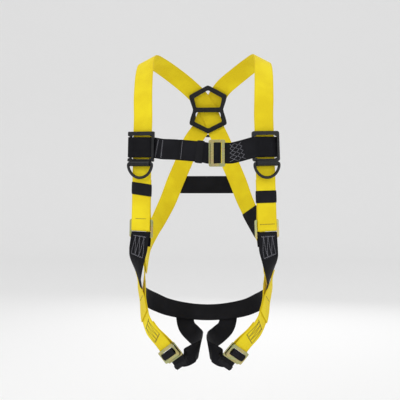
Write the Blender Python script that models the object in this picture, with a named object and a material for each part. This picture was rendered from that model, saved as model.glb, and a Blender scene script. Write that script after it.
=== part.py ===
"""Full-body safety harness: yellow and black webbing, a dorsal pad with its ring, chest rings and buckles.

Metres, +Z up. The wearer faces -Y and +X is the wearer's left. The origin is midway between the shoulders,
at the height of the shoulder crowns. Mirrored pieces are made once for side = +1 (left) and side = -1 (right).
"""
import math

import bmesh
import bpy
from mathutils import Matrix, Vector

MM = 0.001

# Webbing
WEB_W = 45 * MM          # width of every strap
WEB_T = 2.0 * MM         # thickness of one ply
LAP = 2.8 * MM           # distance between the middles of two plies that lie on each other
HIP_GAP = 3.6 * MM       # the same where the back strap turns onto the leg strap
STEP = 11 * MM           # length of one segment along a gentle stretch
TWIST_STEP = math.radians(11)    # most that the normal turns in one segment
SHORTEST = 4 * MM        # no segment is cut shorter than this to follow a turn

# Front straps: straight and upright across the chest, turned outward by YAW
FRONT_X = 133 * MM
FRONT_Y = -115 * MM
YAW = math.radians(17)
LEAN = {1: 2.0, -1: 1.4}    # degrees that each front strap leans outward below LEAN_TOP
LEAN_TOP = -150 * MM
ADJUSTER_Z = -413.5 * MM
BAR_WRAP = 3.5 * MM      # middle of a ply that wraps a 3 mm thick bar

# Chest frames
FRAME_Z = -233.5 * MM
FRAME_OUT = 7.0 * MM     # frame plate in front of the strap's middle
RING_ROD = 3.2 * MM      # radius of a chest ring's rod
BARREL = 7.0 * MM        # radius of the tube that carries the ring
RING_DROP = 35.4 * MM    # ring axis below the middle of the frame's window
LEVEL = 26 * MM          # the chest strap is level inside the frame and sinks beyond this
SINK = 0.16              # slope of the chest strap towards the buckle
RING_OUT = 10.8 * MM     # ring axis in front of the strap's middle

# Dorsal pad
PAD = Vector((4 * MM, 115 * MM, -117 * MM))
PAD_TILT = math.radians(8)
PAD_BAR_OUT = 6.2 * MM   # ring bar outside the pad plate's middle

# Pass-through buckles
CHEST_BUCKLE = Vector((32.5 * MM, -147.5 * MM, -248.5 * MM))
LEG_BUCKLE = Vector((75.6 * MM, -118 * MM, -690 * MM))
FEMALE_OUT = -6.8 * MM   # rear frame behind the tongue

YELLOW = ("yellow_webbing", (0.80, 0.62, 0.015), 0.8, 0.0)
BLACK = ("black_webbing", (0.012, 0.012, 0.016), 0.85, 0.0)
PLASTIC = ("black_plastic", (0.015, 0.016, 0.018), 0.35, 0.0)
COATED = ("black_coated_steel", (0.02, 0.021, 0.024), 0.3, 0.6)
ZINC = ("zinc_steel", (0.66, 0.58, 0.34), 0.3, 1.0)


def clear_scene():
    for item in list(bpy.context.scene.objects):
        bpy.data.objects.remove(item, do_unlink=True)


def material(look):
    name, colour, roughness, metallic = look
    mat = bpy.data.materials.get(name)
    if mat is None:
        mat = bpy.data.materials.new(name)
        mat.use_nodes = True
        shader = mat.node_tree.nodes["Principled BSDF"]
        shader.inputs["Base Color"].default_value = (*colour, 1.0)
        shader.inputs["Roughness"].default_value = roughness
        shader.inputs["Metallic"].default_value = metallic
    return mat


def finish(name, bm, look, pivot=None):
    """Close the mesh outward and add it as one object, with its origin on pivot."""
    bmesh.ops.recalc_face_normals(bm, faces=bm.faces)
    if pivot is not None:
        bmesh.ops.translate(bm, vec=-pivot, verts=bm.verts)
    mesh = bpy.data.meshes.new(name)
    bm.to_mesh(mesh)
    bm.free()
    mesh.materials.append(material(look))
    mesh.shade_smooth()
    mesh.set_sharp_from_angle(angle=math.radians(40))
    obj = bpy.data.objects.new(name, mesh)
    if pivot is not None:
        obj.location = pivot
    bpy.context.scene.collection.objects.link(obj)
    return obj


# ---------------------------------------------------------------- local frames

def axes_frame(origin, inward, out, up):
    """A frame whose axes are X inward along the strap, Y outward from the wearer, Z along the width."""
    frame = Matrix.Identity(4)
    for column, axis in enumerate((inward, out, up)):
        for row in range(3):
            frame[row][column] = axis[row]
    for row in range(3):
        frame[row][3] = origin[row]
    return frame


def front_frame(side, z=0.0):
    """X inward, Y out of the chest, Z up along the front strap, which leans outward below LEAN_TOP."""
    lean = math.radians(LEAN[side])
    level = Vector((-side * math.cos(YAW), -math.sin(YAW), 0))
    rise = Vector((0, 0, 1))
    up = rise * math.cos(lean) + level * math.sin(lean)
    inward = level * math.cos(lean) - rise * math.sin(lean)
    out = Vector((side * math.sin(YAW), -math.cos(YAW), 0))
    return axes_frame(Vector((side * FRONT_X, FRONT_Y, LEAN_TOP)) + up * (z - LEAN_TOP), inward, out, up)


def pad_frame():
    out = Vector((0, math.cos(PAD_TILT), math.sin(PAD_TILT)))
    up = Vector((0, -math.sin(PAD_TILT), math.cos(PAD_TILT)))
    return axes_frame(PAD, Vector((1, 0, 0)), out, up)


def chest_buckle_frame():
    return axes_frame(CHEST_BUCKLE, Vector((1, 0, 0)), Vector((0, -1, 0)), Vector((0, 0, 1)))


def leg_buckle_frame(side):
    """X points back up the yellow strap, Y out of the thigh, Z along the buckle's long bars."""
    out = Vector((side * 0.52, -0.78, -0.35)).normalized()
    along = Vector((side * 0.62, 0.08, 0.75))
    along = (along - out * along.dot(out)).normalized()
    across = along.cross(out) * -side
    place = Vector((side * LEG_BUCKLE.x, LEG_BUCKLE.y, LEG_BUCKLE.z))
    return axes_frame(place, along, out, across)


# ---------------------------------------------------------------- swept shapes

def spline(stations, step=STEP):
    """Catmull-Rom through (point, normal[, width]) stations, with short steps only where they are dense."""
    full = [(Vector(s[0]), Vector(s[1]), s[2] if len(s) > 2 else 1.0) for s in stations]
    first = (full[0][0] * 2 - full[1][0], full[0][1], full[0][2])
    last = (full[-1][0] * 2 - full[-2][0], full[-1][1], full[-1][2])
    padded = [first] + full + [last]
    result = []
    for a, b, c, d in zip(padded, padded[1:], padded[2:], padded[3:]):
        knots = [0.0]
        for p, q in ((a, b), (b, c), (c, d)):
            knots.append(knots[-1] + max((q[0] - p[0]).length, 1e-6) ** 0.5)
        length = (c[0] - b[0]).length
        turns = min(math.ceil(b[1].angle(c[1]) / TWIST_STEP), int(length / SHORTEST))
        count = max(1, math.ceil(length / step), turns)
        for k in range(count):
            f = k / count
            t = knots[1] + (knots[2] - knots[1]) * f
            point = catmull(knots, t, a[0], b[0], c[0], d[0])
            result.append((point, b[1].lerp(c[1], f), b[2] + (c[2] - b[2]) * f))
    result.append(full[-1])
    return result


def catmull(k, t, a, b, c, d):
    a1 = a * ((k[1] - t) / (k[1] - k[0])) + b * ((t - k[0]) / (k[1] - k[0]))
    a2 = b * ((k[2] - t) / (k[2] - k[1])) + c * ((t - k[1]) / (k[2] - k[1]))
    a3 = c * ((k[3] - t) / (k[3] - k[2])) + d * ((t - k[2]) / (k[3] - k[2]))
    b1 = a1 * ((k[2] - t) / (k[2] - k[0])) + a2 * ((t - k[0]) / (k[2] - k[0]))
    b2 = a2 * ((k[3] - t) / (k[3] - k[1])) + a3 * ((t - k[1]) / (k[3] - k[1]))
    return b1 * ((k[2] - t) / (k[2] - k[1])) + b2 * ((t - k[1]) / (k[2] - k[1]))


def frames_along(path):
    """(point, side, normal, width) at each point, with the normal made square to the path."""
    result = []
    for i, (point, normal, width) in enumerate(path):
        before = path[max(i - 1, 0)][0]
        after = path[min(i + 1, len(path) - 1)][0]
        tangent = (after - before).normalized()
        side = tangent.cross(normal).normalized()
        result.append((point, side, side.cross(tangent).normalized(), width))
    return result


def ribbon(name, stations, look, step=STEP):
    """A strap along the smooth curve through stations."""
    return strap(name, spline(stations, step), look)


def flat_skin(bm, rings):
    """Join rings of four corners, both wide faces split along the shorter diagonal, so that plies twist alike."""
    for near, far in zip(rings, rings[1:]):
        falling = (near[0].co + near[3].co - far[1].co - far[2].co).length
        rising = (near[1].co + near[2].co - far[0].co - far[3].co).length
        if falling < rising:
            triangles = ((near[0], near[1], far[1]), (near[0], far[1], far[0]),
                         (near[2], near[3], far[2]), (near[3], far[3], far[2]))
        else:
            triangles = ((near[0], near[1], far[0]), (near[1], far[1], far[0]),
                         (near[2], near[3], far[3]), (near[2], far[3], far[2]))
        for corners in triangles:
            bm.faces.new(corners)
        bm.faces.new((near[1], near[2], far[2], far[1]))
        bm.faces.new((near[3], near[0], far[0], far[3]))


def strap(name, path, look):
    """A strap through every point of path, each (point, normal, width factor)."""
    bm = bmesh.new()
    rings = []
    for point, side, normal, factor in frames_along(path):
        w = side * (WEB_W * factor / 2)
        n = normal * (WEB_T / 2)
        rings.append([bm.verts.new(point + p) for p in (w + n, n - w, -w - n, w - n)])
    flat_skin(bm, rings)
    bm.faces.new(list(reversed(rings[0])))
    bm.faces.new(rings[-1])
    return finish(name, bm, look)


def beside(path, shift):
    """The same path moved along its true normals, as the ply that lies on it."""
    return [(point + normal * shift, normal, factor) for point, _, normal, factor in frames_along(path)]


def sleeve(name, frames, look, inner, wall):
    """A flat tube round a strap. inner is (width, low, high), low and high measured along the normal."""
    bm = bmesh.new()
    outer_rings = []
    inner_rings = []
    for point, side, normal, _ in frames:
        for rings, grow in ((outer_rings, wall), (inner_rings, 0.0)):
            half = inner[0] / 2 + grow
            low, high = inner[1] - grow, inner[2] + grow
            corners = ((half, high), (-half, high), (-half, low), (half, low))
            rings.append([bm.verts.new(point + side * a + normal * b) for a, b in corners])
    flat_skin(bm, outer_rings)
    flat_skin(bm, inner_rings)
    for end in (0, -1):
        for i in range(4):
            j = (i + 1) % 4
            bm.faces.new((outer_rings[end][i], outer_rings[end][j], inner_rings[end][j], inner_rings[end][i]))
    return finish(name, bm, look)


def rod_loop(name, points, radius, look, pivot, sides=10):
    """A closed loop of round rod through points."""
    bm = bmesh.new()
    centre = sum(points, Vector()) / len(points)
    plane = (points[0] - centre).cross(points[len(points) // 3] - centre).normalized()
    rings = []
    for i, point in enumerate(points):
        tangent = (points[(i + 1) % len(points)] - points[i - 1]).normalized()
        u = tangent.cross(plane).normalized()
        v = u.cross(tangent).normalized()
        ring = []
        for k in range(sides):
            angle = 2 * math.pi * k / sides
            ring.append(bm.verts.new(point + u * (radius * math.cos(angle)) + v * (radius * math.sin(angle))))
        rings.append(ring)
    for near, far in zip(rings, rings[1:] + rings[:1]):
        for k in range(sides):
            m = (k + 1) % sides
            bm.faces.new((near[k], near[m], far[m], far[k]))
    return finish(name, bm, look, pivot)


def rounded_rect(cx, cy, width, height, radius, segments=3):
    points = []
    corners = ((1, 1, 0), (-1, 1, 90), (-1, -1, 180), (1, -1, 270))
    for sx, sy, start in corners:
        for k in range(segments + 1):
            angle = math.radians(start + 90 * k / segments)
            x = cx + sx * (width / 2 - radius) + radius * math.cos(angle)
            y = cy + sy * (height / 2 - radius) + radius * math.sin(angle)
            points.append((x, y))
    return points


def rounded_outline(points, radius, segments=3):
    """Cut each corner of an outline with an arc-like curve that starts radius before it."""
    result = []
    for i, corner in enumerate(points):
        corner = Vector(corner)
        before = Vector(points[i - 1])
        after = Vector(points[(i + 1) % len(points)])
        a = corner + (before - corner).normalized() * radius
        b = corner + (after - corner).normalized() * radius
        for k in range(segments + 1):
            f = k / segments
            result.append(tuple(a.lerp(corner, f).lerp(corner.lerp(b, f), f)))
    return result


def plate(bm, outline, holes, thick, place):
    """Extrude an outline with holes, given as (x, z) in the frame, to thick along the frame's Y."""
    edges = []
    for loop in [outline] + holes:
        verts = [bm.verts.new(place @ Vector((x, -thick / 2, z))) for x, z in loop]
        for i in range(len(verts)):
            edges.append(bm.edges.new((verts[i - 1], verts[i])))
    filled = bmesh.ops.triangle_fill(bm, use_beauty=True, edges=edges)
    faces = [g for g in filled["geom"] if isinstance(g, bmesh.types.BMFace)]
    grown = bmesh.ops.extrude_face_region(bm, geom=faces, use_keep_orig=True)
    verts = [g for g in grown["geom"] if isinstance(g, bmesh.types.BMVert)]
    bmesh.ops.translate(bm, vec=place.to_3x3() @ Vector((0, thick, 0)), verts=verts)


# ---------------------------------------------------------------- shared strap stretches

def arc(cx, cy, radius, start, stop, count):
    """(x, out) points on an arc, angles in degrees."""
    points = []
    for k in range(count + 1):
        angle = math.radians(start + (stop - start) * k / count)
        points.append((cx + radius * math.cos(angle), cy + radius * math.sin(angle)))
    return points


def wrap_stations(frame, flat, sink=0.0):
    """Stations of a strap whose path is (x, out) in a frame, sinking past LEVEL by sink for each metre inward."""
    turn = frame.to_3x3()
    up = turn @ Vector((0, 0, 1))
    points = [frame @ Vector((x, out, -sink * max(0.0, x - LEVEL))) for x, out in flat]
    stations = []
    for i, point in enumerate(points):
        tangent = (points[min(i + 1, len(points) - 1)] - points[max(i - 1, 0)]).normalized()
        stations.append((point, tangent.cross(up).normalized()))
    return stations


def sewn_end():
    """The sewn strap's last stretch over the rear frame's bar, and its bend round the bar, as (x, out)."""
    bar = 14.5 * MM
    straight = [(30 * MM, FEMALE_OUT + BAR_WRAP), (22 * MM, FEMALE_OUT + BAR_WRAP)]
    return straight, arc(bar, FEMALE_OUT, BAR_WRAP, 90, 270, 6)


ROLL = 2.9      # mm from the tongue's middle to each end of its middle bar


def adjustable_end():
    """The adjustable strap: main ply at the back, over the tongue's bar, and back between them."""
    flat = [(-20, -12.7), (-13, -12.2), (-3.7, -9.8), (3.1, -7.1), (6.3, -4.0)]
    flat += arc(ROLL, 0, 3.8, -15, 90, 3) + arc(-ROLL, 0, 3.8, 90, 196, 3)
    flat += [(-7.3, -3.5), (-9.8, -6.7), (-12.4, -8.8), (-15.5, -10.0), (-19.5, -10.2)]
    return [(x * MM, out * MM) for x, out in flat]


# Each back strap from below the pad to the waist: side +1, point and outward normal
BACK_ROUTE = [
    ((59, 124.5, -250), (0.12, 0.99, 0)),
    ((80, 118.5, -300), (0.22, 0.97, -0.02)),
    ((98.5, 109, -350), (0.42, 0.9, -0.05)),
    ((117, 91, -392), (0.62, 0.78, 0)),
]

# Overlap at the hip, where the back strap is sewn inside the leg strap: side +1, point and outward normal
HIP_LAP = [
    ((134, 61, -430), (0.82, 0.56, 0)),
    ((142.5, 30, -462), (0.95, 0.30, 0)),
    ((142.2, 12, -490), (1, 0.08, 0)),
    ((141.2, -4, -518), (1, -0.08, 0)),
]


def mirror(point, side):
    return Vector((side * point[0], point[1], point[2]))


def stations_mm(rows, side, shift=0.0):
    """Turn rows of ((x, y, z) mm, normal[, width]) for the left side into stations, moved out by shift."""
    result = []
    for row in rows:
        normal = mirror(row[1], side).normalized()
        result.append((mirror(row[0], side) * MM + normal * shift, normal) + tuple(row[2:]))
    return result


# ---------------------------------------------------------------- yellow webbing

def shoulder_path(side):
    front = front_frame(side)
    turn = front.to_3x3()
    out = turn @ Vector((0, 1, 0))
    back = -BAR_WRAP * 2

    def station(drop, outward, normal=out):
        return (front @ Vector((0, outward, drop)), normal)

    # tail behind the strap, down behind the adjuster, round its middle bar and up the front
    stations = [station(z, -LAP, -out) for z in (-0.305, -0.345, -0.362)]
    stations += [station(-0.380, -0.8 * BAR_WRAP - LAP / 2, -out), station(-0.394, back, -out)]
    centre = ADJUSTER_Z - 1.5 * MM
    for angle in range(180, 361, 30):
        a = math.radians(angle)
        normal = turn @ Vector((0, math.cos(a), math.sin(a)))
        bend = Vector((0, BAR_WRAP * (math.cos(a) - 1), centre + BAR_WRAP * math.sin(a)))
        stations.append((front @ bend, normal))
    stations += [station(z, 0) for z in (-0.395, -0.372, -0.190, -0.165)]
    stations += stations_mm([
        ((134.5, -108.5, -120), (0.28, -0.93, 0.20)),
        ((136, -78, -64.5), (0.32, -0.78, 0.52)),
        ((136, -43, -28), (0.42, -0.45, 0.79)),
        ((132, -5, -14), (0.45, -0.02, 0.89)),
        ((113, 42, -17), (0.34, 0.45, 0.80)),
        ((80, 82, -35), (0.20, 0.75, 0.60)),
    ], side)
    stations.append(((mirror((43, 108, -62), side)) * MM, mirror((0.08, 0.93, 0.36), side)))
    # over the pad: the left strap lies outside the right one
    pad = pad_frame()
    over = 3.2 * MM if side > 0 else 0.0
    upright = pad.to_3x3() @ Vector((0, 1, 0))
    for x, up, lift in ((19, 27, 9.8), (9, 12, 11.4), (0, 0, 11.6), (-5.5, -12, 11.4), (-11, -26, 10), (-18, -46, 7)):
        stations.append((pad @ Vector((side * x * MM, lift * MM + over, up * MM)), upright))
    stations.append((mirror((40, 126.5 + 1.3 * side, -200), -side) * MM, mirror((0.05, 1, 0), -side)))
    stations += stations_mm(BACK_ROUTE + HIP_LAP, -side)
    return spline(stations)


LEG_ROUTE = [
    ((143.5, -26, -553), (0.95, -0.30, 0)),
    ((142.5, -40, -585), (0.90, -0.42, -0.06)),
    ((134, -68, -617), (0.77, -0.62, -0.12)),
    ((121, -94, -638), (0.66, -0.72, -0.22)),
]


def leg_strap(side, label):
    """From the back strap's end down the outside of the thigh to the buckle, with its sewn return."""
    buckle = leg_buckle_frame(side)
    out = buckle.to_3x3() @ Vector((0, 1, 0))
    straight, bend = sewn_end()
    hip = beside(spline(stations_mm(HIP_LAP, side)), HIP_GAP)[5:]
    down = stations_mm(LEG_ROUTE, side) + [(buckle @ Vector((x, y, 0)), out) for x, y in straight]
    main = spline(hip + down)
    strap("leg_strap_" + label, main + sewn_return(main, buckle, bend, 6), YELLOW)
    fork = stations_mm([
        ((161, -9, -523), (0.96, 0.16, 0.05)),
        ((158, -20, -545), (0.98, -0.08, 0.12)),
    ], side)
    lying = [row for row in beside(main, LAP) if -0.622 < row[0].z < -0.578]
    ribbon("leg_strap_outer_ply_" + label, fork + lying, YELLOW)


def sewn_return(main, frame, bend, count):
    """Bend round the frame's bar and lie back under the last count points of main."""
    turn = frame.to_3x3()
    path = []
    for i, (x, out) in enumerate(bend):
        angle = math.radians(90 + 180 * i / (len(bend) - 1))
        path.append((frame @ Vector((x, out, 0)), turn @ Vector((math.cos(angle), math.sin(angle), 0)), 1.0))
    for k, (point, _, normal, _) in enumerate(reversed(frames_along(main)[-count:])):
        gap = LAP + (2 * BAR_WRAP - LAP) * max(0.0, 1 - k / 3)
        path.append((point - normal * gap, -normal, 1.0))
    return path


# ---------------------------------------------------------------- black webbing

def hip_connector(side, label):
    front = front_frame(side)
    turn = front.to_3x3()
    out = turn @ Vector((0, 1, 0))
    top = ADJUSTER_Z - 11.4 * MM
    stations = [(front @ Vector((0, -LAP * 1.5, -0.453)), -out)]
    stations += [(front @ Vector((0, -BAR_WRAP * 1.9, -0.441)), -out)]
    for angle in range(180, -1, -30):
        a = math.radians(angle)
        normal = turn @ Vector((0, math.cos(a), math.sin(a)))
        bend = Vector((0, BAR_WRAP * (math.cos(a) - 1), top + BAR_WRAP * math.sin(a)))
        stations.append((front @ bend, normal))
    stations += stations_mm([
        ((144.5, -112.5, -459), (0.32, -0.94, 0)),
        ((148.5, -107, -481), (0.52, -0.84, 0)),
        ((150.5, -91, -507), (0.76, -0.65, 0.05)),
        ((150.5, -71, -529), (0.89, -0.45, 0.05), 0.92),
        ((146.6, -51, -545), (0.94, -0.33, 0), 0.62),
    ], side)
    ribbon("hip_connector_" + label, stations, BLACK)


def back_strap():
    rows = []
    for side in (-1, 1):
        part = stations_mm([
            ((92, 119.4, -310), (0.26, 0.96, -0.10)),
            ((76, 123.7, -310), (0.24, 0.96, -0.09)),
            ((58, 127.4, -310), (0.15, 0.98, -0.05)),
            ((30, 128.9, -310), (0.03, 1, 0)),
        ], side)
        rows += part if side < 0 else part[::-1]
    ribbon("back_strap", rows, BLACK)


SEAT = [
    ((139, -30, -577), (0.95, -0.30, 0)),
    ((143, 0, -583), (1, 0, 0)),
    ((140, 35, -593), (0.95, 0.30, -0.05)),
    ((127, 70, -607), (0.75, 0.65, -0.10)),
    ((102, 102, -624), (0.46, 0.82, -0.34)),
    ((70, 121, -635), (0.22, 0.86, -0.46)),
    ((35, 129, -641), (0.09, 0.83, -0.55)),
]


def seat_strap():
    left = stations_mm(SEAT, 1)
    right = stations_mm(SEAT, -1)
    middle = (Vector((0, 131, -643)) * MM, Vector((0, 0.82, -0.57)))
    ribbon("seat_strap", right + [middle] + left[::-1], BLACK)


def thigh_path(side):
    """From the seat strap under the crotch to the leg buckle, round the tongue's bar, ending in a free tail."""
    buckle = leg_buckle_frame(side)
    near = facing(wrap_stations(buckle, adjustable_end() + [(-41 * MM, -8.4 * MM)]), buckle, 0)
    rows = [
        ((58, 138.9, -623.5), (0.17, 0.85, -0.50)),
        ((57, 121.6, -652), (0.17, 0.85, -0.50)),
        ((50.5, 107, -675), (0.05, 0.82, -0.57)),
        ((32, 84, -690), (-0.45, 0.72, -0.50)),
        ((17, 43, -693), (-0.85, 0.30, -0.40)),
        ((11.5, 5, -693), (-0.96, 0, -0.26)),
        ((10, -35, -692), (-0.97, -0.14, -0.20)),
        ((12, -62, -693), (-0.86, -0.48, -0.16)),
        ((21, -81, -696), (-0.36, -0.92, -0.16)),
        ((35, -92, -702), (0.0, -0.97, -0.24)),
        ((47.5, -100, -705), (0.24, -0.91, -0.34)),
    ]
    return spline(stations_mm(rows, side) + near)


def facing(stations, frame, index):
    """The stations with all normals turned so that the one at index points out of the frame."""
    out = frame.to_3x3() @ Vector((0, 1, 0))
    sign = 1 if stations[index][1].dot(out) > 0 else -1
    return [(point, normal * sign) for point, normal in stations]


def chest_strap_right():
    """Wearer's right: behind the inner bar, across the window, round the outer bar, back behind the strap."""
    frame = front_frame(-1, FRAME_Z)
    flat = [(48, 1.5), (36, 1.2), (32, 1.0), (28, 1.3), (24.5, 2.6), (20.5, 4.3), (14, 5.4), (0, 6.0), (-12, 6.8),
            (-17.3, 8.6), (-20.2, 10.5), (-23.5, 11.3), (-27.3, 11.2), (-29.4, 10.0), (-30.2, 7), (-30.1, 3.5),
            (-29.3, 0.6), (-27.4, -1.6), (-24.5, -2.6), (-10, -2.8), (15, -2.8), (27, -2.4), (36, -1.6), (48, -1.3)]
    near = wrap_stations(frame, [(x * MM, out * MM) for x, out in flat], SINK)[::-1]
    buckle = chest_buckle_frame()
    wrap = wrap_stations(buckle, adjustable_end())
    rows = ((-26, -137.4, -247.6), (-42, -137.1, -245.4), (-50, -136.7, -244))
    tail = [(Vector(row) * MM, Vector((0, 1, 0))) for row in rows]
    ahead = Vector((0, -1, 0))
    rows = ((-62, -133.3, -241.8), (-42, -134.5, -245.4), (-26, -134.9, -247.6))
    middle = [(Vector(row) * MM, ahead) for row in rows]
    ribbon("chest_strap_right", facing(near, frame, -1) + middle + facing(wrap, buckle, 0) + tail, BLACK)


def chest_strap_left():
    """Wearer's left: over the inner bar, across the window, behind the outer bar, back behind the strap."""
    frame = front_frame(1, FRAME_Z)
    flat = [(50, 7.6), (40, 9.8), (32, 11.2), (26, 11.2), (22.6, 10.6), (19.8, 8.8), (14, 6.6), (0, 6.0), (-14, 5.4),
            (-19, 4.3), (-22.2, 3.2), (-24.6, 2.9), (-27, 2.2), (-28.0, 0.2), (-27, -1.8), (-24, -2.8), (-10, -2.8),
            (15, -2.8), (27, -2.4), (36, -1.4), (46, -0.8)]
    near = facing(wrap_stations(frame, [(x * MM, out * MM) for x, out in flat], SINK * 1.6), frame, 0)
    buckle = chest_buckle_frame()
    out = buckle.to_3x3() @ Vector((0, 1, 0))
    straight, bend = sewn_end()
    lead = [(buckle @ Vector((x, y, 0)), out) for x, y in straight]
    main = spline(near[::-1] + lead)
    strap("chest_strap_left", main + sewn_return(main, buckle, bend, 3), BLACK)


# ---------------------------------------------------------------- hardware

def chest_window(side, segments):
    """The window: as wide as the wrapped bars allow beside the chest strap, narrower above and below it."""
    outer = -26 if side > 0 else -23.6
    half = [(26, -23.8), (26, 23.8), (21.8, 24.2), (21.8, 26.2), (-21.8, 26.2), (-21.8, 24.2), (outer, 23.8)]
    points = half + [(outer, -23.8), (-21.8, -24.2), (-21.8, -26.2), (21.8, -26.2), (21.8, -24.2)]
    return rounded_outline([(x * MM, z * MM) for x, z in points], 0.4 * MM, segments)


def chest_outline(side, segments):
    """The plate's outline. The right one is notched outside, so that the strap round its bar stays flush."""
    if side > 0:
        return rounded_rect(0, 1.4 * MM, 63 * MM, 66.2 * MM, 5 * MM, segments)
    points = [(31.5, 34.5), (-31.5, 34.5), (-31.5, 25), (-26.6, 23.8), (-26.6, -23.8), (-31.5, -25), (-31.5, -31.7),
              (31.5, -31.7)]
    return rounded_outline([(x * MM, z * MM) for x, z in points], 2 * MM, segments)


def chest_frame(side, label):
    """A plate round a window, on a hollow tube that carries the ring."""
    place = front_frame(side, FRAME_Z) @ Matrix.Translation((0, FRAME_OUT, 0))
    bm = bmesh.new()
    plate(bm, chest_outline(side, 3), [chest_window(side, 1)], 5 * MM, place)
    frame = finish("chest_frame_" + label, bm, PLASTIC)
    axis = front_frame(side, FRAME_Z) @ Matrix.Translation((0, RING_OUT, -RING_DROP))
    barrel = cylinder("barrel_" + label, axis, BARREL, 49 * MM, 18)
    bore = cylinder("bore_" + label, axis, RING_ROD + 0.5 * MM, 80 * MM, 12)
    for tool, operation in ((barrel, "UNION"), (bore, "DIFFERENCE")):
        tool.hide_render = True
        tool.display_type = "WIRE"
        cut = frame.modifiers.new(tool.name, "BOOLEAN")
        cut.object = tool
        cut.operation = operation
        cut.solver = "EXACT"


def cylinder(name, place, radius, length, sides):
    """A cylinder along the frame's X."""
    bm = bmesh.new()
    turn = place @ Matrix.Rotation(math.radians(90), 4, "Y")
    bmesh.ops.create_cone(bm, cap_ends=True, segments=sides, radius1=radius, radius2=radius, depth=length, matrix=turn)
    return finish(name, bm, PLASTIC)


def chest_ring(side, label):
    axis = front_frame(side, FRAME_Z) @ Matrix.Translation((0, RING_OUT, -RING_DROP))
    half = 28.9 * MM
    drop = 32.0 * MM
    points = [Vector((x * MM, 0, 0)) for x in (-25.0, -8, 8, 25.0)]
    points += [Vector((half - 1.0 * MM, 0, -1.7 * MM))]
    for k in range(13):
        angle = math.radians(-13 - 154 * k / 12)
        points.append(Vector((half * math.cos(angle), 0, drop * math.sin(angle))))
    points += [Vector((-half + 1.0 * MM, 0, -1.7 * MM))]
    world = [axis @ p for p in points]
    rod_loop("chest_ring_" + label, world, RING_ROD, COATED, axis.translation)


def dorsal_ring():
    pad = pad_frame()
    half = 37 * MM
    bar = PAD_BAR_OUT
    eye = 20.5 * MM
    flat = [(-30, 0, bar), (-10, 0, bar), (10, 0, bar), (30, 0, bar), (35.2, -0.6, bar + 1.6 * MM),
            (37, -3.6, bar + 5.5 * MM), (37, -9, eye - 2 * MM), (36, -17, eye)]
    points = [Vector((x * MM, out, up * MM)) for x, up, out in flat]
    for k in range(11):
        angle = math.radians(180 * k / 10)
        points.append(Vector(((half - 5 * MM) * math.cos(angle), eye, (-36 - 32 * math.sin(angle)) * MM)))
    points += [Vector((-x * MM, out, up * MM)) for x, up, out in flat[:3:-1]]
    pivot = pad @ Vector((0, bar, 0))
    rod_loop("dorsal_ring", [pad @ p for p in points], 3.5 * MM, COATED, pivot)


def dorsal_pad():
    bm = bmesh.new()
    right = [(0, 63), (49, 37), (46, 22), (38.5, 0), (46, -22), (49, -37)]
    left = [(-x, z) for x, z in right[:0:-1]]
    outline = rounded_outline([(x * MM, z * MM) for x, z in right + [(0, -61)] + left], 5 * MM, 2)
    upper = [(0, 50), (36, 30), (31, 6), (-31, 6), (-36, 30)]
    lower = [(0, -48), (-36, -30), (-31, -6), (31, -6), (36, -30)]
    holes = [rounded_outline([(x * MM, z * MM) for x, z in hole], 4 * MM, 2) for hole in (upper, lower)]
    plate(bm, outline, holes, 4 * MM, pad_frame())
    finish("dorsal_pad", bm, PLASTIC)


def torso_adjuster(side, label):
    place = front_frame(side, ADJUSTER_Z) @ Matrix.Translation((0, -BAR_WRAP, 0))
    bm = bmesh.new()
    outline = rounded_rect(0, 0, 56 * MM, 41 * MM, 4 * MM, 3)
    upper = rounded_rect(0, 9 * MM, 47.5 * MM, 12 * MM, 1.5 * MM, 1)
    lower = rounded_rect(0, -6.4 * MM, 47.5 * MM, 6.8 * MM, 1.5 * MM, 1)
    plate(bm, outline, [upper, lower], 3 * MM, place)
    finish("torso_adjuster_" + label, bm, ZINC)


def buckle(place, prefix, suffix):
    """Rear frame with one large window, and the three-bar tongue in front of it."""
    bm = bmesh.new()
    outline = rounded_rect(-1.5 * MM, 0, 36 * MM, 58.5 * MM, 4 * MM, 3)
    window = rounded_rect(-1.5 * MM, 0, 29 * MM, 47 * MM, 1 * MM, 1)
    plate(bm, outline, [window], 3 * MM, place @ Matrix.Translation((0, FEMALE_OUT, 0)))
    finish(prefix + "_buckle_frame" + suffix, bm, ZINC)
    bm = bmesh.new()
    outline = rounded_rect(0, 0, 30.6 * MM, 57 * MM, 3.5 * MM, 3)
    holes = [rounded_rect(x * MM, 0, 4.5 * MM, 46.4 * MM, 1.2 * MM, 1) for x in (-6.3, 6.3)]
    plate(bm, outline, holes, 3 * MM, place)
    finish(prefix + "_buckle_tongue" + suffix, bm, ZINC, place.translation.copy())


# ---------------------------------------------------------------- keepers and sleeves

KEEPER_Z = {1: -343 * MM, -1: -326 * MM}


def strap_keeper(side, label):
    front = front_frame(side)
    out = front.to_3x3() @ Vector((0, 1, 0))
    half = 13.5 * MM
    ends = [(front @ Vector((0, 0, KEEPER_Z[side] + dz)), out, 1.0) for dz in (-half, half)]
    sleeve("strap_keeper_" + label, frames_along(ends), BLACK, (46 * MM, -4.1 * MM, 1.5 * MM), 1.4 * MM)


def chest_keeper():
    place = chest_buckle_frame()
    ends = [(place @ Vector((x * MM, -11.45 * MM, 0)), Vector((0, -1, 0)), 1.0) for x in (-43.5, -31.5)]
    sleeve("chest_keeper", frames_along(ends), BLACK, (46 * MM, -2.8 * MM, 2.8 * MM), 1.3 * MM)


def leg_keeper(side, label):
    """A narrow elastic loop round the thigh strap and its free tail, near the tail's end."""
    place = leg_buckle_frame(side)
    normal = place.to_3x3() @ Vector((-0.09, -1, 0)).normalized()
    ends = [(place @ Vector((x * MM, out * MM, 0)), normal, 1.0) for x, out in ((-38.5, -8.7), (-29.5, -9.5))]
    sleeve("leg_keeper_" + label, frames_along(ends), BLACK, (46 * MM, -1.5 * MM, 1.5 * MM), 1.3 * MM)


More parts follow.
